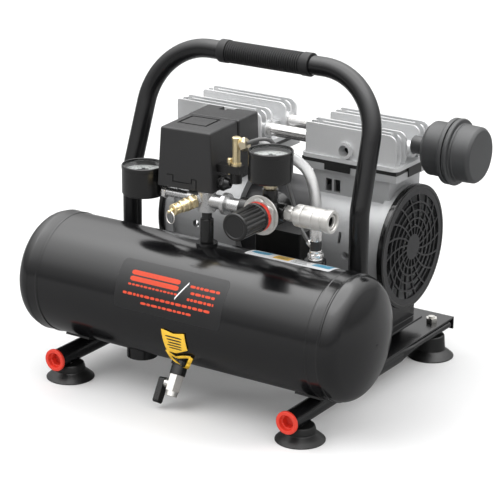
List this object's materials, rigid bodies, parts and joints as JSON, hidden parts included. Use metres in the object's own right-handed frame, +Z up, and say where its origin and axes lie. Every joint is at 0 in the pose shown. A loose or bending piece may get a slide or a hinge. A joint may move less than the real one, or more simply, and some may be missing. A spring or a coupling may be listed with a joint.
{
  "type": "air compressor",
  "caption": "Portable oil-free air compressor: horizontal tank in front, finned pump behind it on a plate, carrying handle over both.",
  "frame": {"origin": "on the floor, under the middle of the whole machine", "axes": "+Z up, +X along the tank towards the outlet coupler, -Y towards the front where the tank lies"},
  "size_m": [0.5016, 0.3839, 0.4085],
  "materials": {
    "tank_paint": "gloss black paint",
    "frame_paint": "satin black powder coat",
    "foot_rubber": "moulded black rubber",
    "grip_rubber": "ribbed black rubber",
    "red_plastic": "moulded red plastic",
    "zinc_steel": "zinc plated",
    "cover_plastic": "fine spark-eroded texture",
    "black_plastic": "moulded black plastic",
    "brass": "machined",
    "nickel": "nickel plated",
    "cast_zinc": "die cast",
    "black_metal": "black coated",
    "dial_white": "printed dial",
    "lens_clear": "clear",
    "needle_black": "black",
    "hose_braid": "braided stainless steel",
    "tube_grey": "extruded grey tube",
    "motor_steel": "painted steel",
    "cast_aluminium": "bead blasted casting",
    "liner_aluminium": "anodised",
    "grey_plastic": "dark grey moulded plastic",
    "filter_foam": "open foam",
    "label_film": "printed film"
  },
  "bodies": {
    "frame": {"tank_shell": "tank_paint", "tank_heads": "tank_paint", "tank_fittings": "tank_paint", "rails": "frame_paint", "base_plate": "frame_paint", "handle_frame": "frame_paint", "pump_brackets": "frame_paint", "suction_feet": "foot_rubber", "pump_mounts": "foot_rubber", "handle_grip": "grip_rubber", "rail_end_caps": "red_plastic", "regulator_lock_ring": "red_plastic", "bolts": "zinc_steel", "check_valve_body": "zinc_steel", "main_bearings": "zinc_steel", "switch_cover": "cover_plastic", "switch_base": "black_plastic", "cable_gland": "black_plastic", "capacitor_box": "black_plastic", "valve_plates": "black_plastic", "unloader_valve": "brass", "safety_valve_body": "brass", "drain_valve_body": "nickel", "regulator_nut": "nickel", "coupler_body": "nickel", "pipe_fittings": "nickel", "manifold": "cast_zinc", "riser_pipe": "black_metal", "drain_nipple": "black_metal", "regulator_body": "black_metal", "gauge_cases": "black_metal", "gauge_dials": "dial_white", "gauge_lenses": "lens_clear", "discharge_hose": "hose_braid", "unloader_tube": "tube_grey", "stator": "motor_steel", "crankcases": "cast_aluminium", "cylinder_heads": "cast_aluminium", "transfer_tubes": "cast_aluminium", "cylinder_liners": "liner_aluminium", "fan_guards": "grey_plastic", "air_filter_base": "grey_plastic", "air_filter_cover": "grey_plastic", "air_filter_element": "filter_foam"},
    "crank": {"crankshaft": "zinc_steel", "rotor": "motor_steel", "fans": "grey_plastic"},
    "rod_left": {"rod_left": "cast_aluminium"},
    "rod_right": {"rod_right": "cast_aluminium"},
    "tank_needle": {"tank_needle": "needle_black"},
    "outlet_needle": {"outlet_needle": "needle_black"},
    "regulator_stem": {"regulator_stem": "brass"},
    "regulator_knob": {"regulator_knob": "black_plastic"},
    "drain_lever": {"drain_ball": "nickel", "drain_lever": "black_plastic"},
    "safety_stem": {"safety_valve_stem": "brass"},
    "pull_ring": {"pull_ring": "nickel"},
    "coupler_sleeve": {"coupler_sleeve": "nickel"},
    "unloader_pin": {"unloader_pin": "brass"},
    "check_poppet": {"check_valve_poppet": "zinc_steel"}
  },
  "joints": [
    {"name": "crank_spin", "type": "hinge", "parent": "frame", "child": "crank", "pos_m": [0.001, 0.093, 0.166], "axis": [1, 0, 0], "continuous": true},
    {"name": "rod_left_turn", "type": "hinge", "parent": "crank", "child": "rod_left", "pos_m": [-0.096, 0.093, 0.159], "axis": [1, 0, 0], "continuous": true},
    {"name": "rod_right_turn", "type": "hinge", "parent": "crank", "child": "rod_right", "pos_m": [0.098, 0.093, 0.173], "axis": [1, 0, 0], "continuous": true},
    {"name": "tank_needle_turn", "type": "hinge", "parent": "frame", "child": "tank_needle", "pos_m": [-0.091, -0.116, 0.2725], "axis": [0, 0, 1], "range_deg": [-270, 0], "stiffness_Nm_per_rad": 0.0005},
    {"name": "outlet_needle_turn", "type": "hinge", "parent": "frame", "child": "outlet_needle", "pos_m": [0.089, -0.116, 0.32], "axis": [0, 0, 1], "range_deg": [-270, 0], "stiffness_Nm_per_rad": 0.0005},
    {"name": "regulator_turn", "type": "hinge", "parent": "frame", "child": "regulator_stem", "pos_m": [0.085, -0.1285, 0.251], "axis": [0, -1, 0], "range_deg": [0, 900]},
    {"name": "regulator_pull", "type": "slide", "parent": "regulator_stem", "child": "regulator_knob", "axis": [0, -1, 0], "range_m": [0, 0.004]},
    {"name": "drain_turn", "type": "hinge", "parent": "frame", "child": "drain_lever", "pos_m": [-0.01, -0.168, 0.03093], "axis": [-1, 0, 0], "range_deg": [0, 90]},
    {"name": "safety_lift", "type": "slide", "parent": "frame", "child": "safety_stem", "axis": [-0.2844, -0.9481, -0.1422], "range_m": [0, 0.003], "stiffness_N_per_m": 400},
    {"name": "ring_swing", "type": "hinge", "parent": "safety_stem", "child": "pull_ring", "pos_m": [-0.01923, -0.16195, 0.24538], "axis": [0.9578, -0.2873, 0], "range_deg": [-40, 40]},
    {"name": "coupler_release", "type": "slide", "parent": "frame", "child": "coupler_sleeve", "axis": [-1, 0, 0], "range_m": [0, 0.004], "stiffness_N_per_m": 800},
    {"name": "unloader_press", "type": "slide", "parent": "frame", "child": "unloader_pin", "axis": [0, 0, -1], "range_m": [0, 0.0012], "stiffness_N_per_m": 1000},
    {"name": "check_open", "type": "slide", "parent": "frame", "child": "check_poppet", "axis": [0, 0, -1], "range_m": [0, 0.002], "stiffness_N_per_m": 300}
  ],
  "couplings": [
    {"joint": "rod_left_turn", "follows": "crank_spin", "ratio": -1},
    {"joint": "rod_right_turn", "follows": "crank_spin", "ratio": -1}
  ]
}
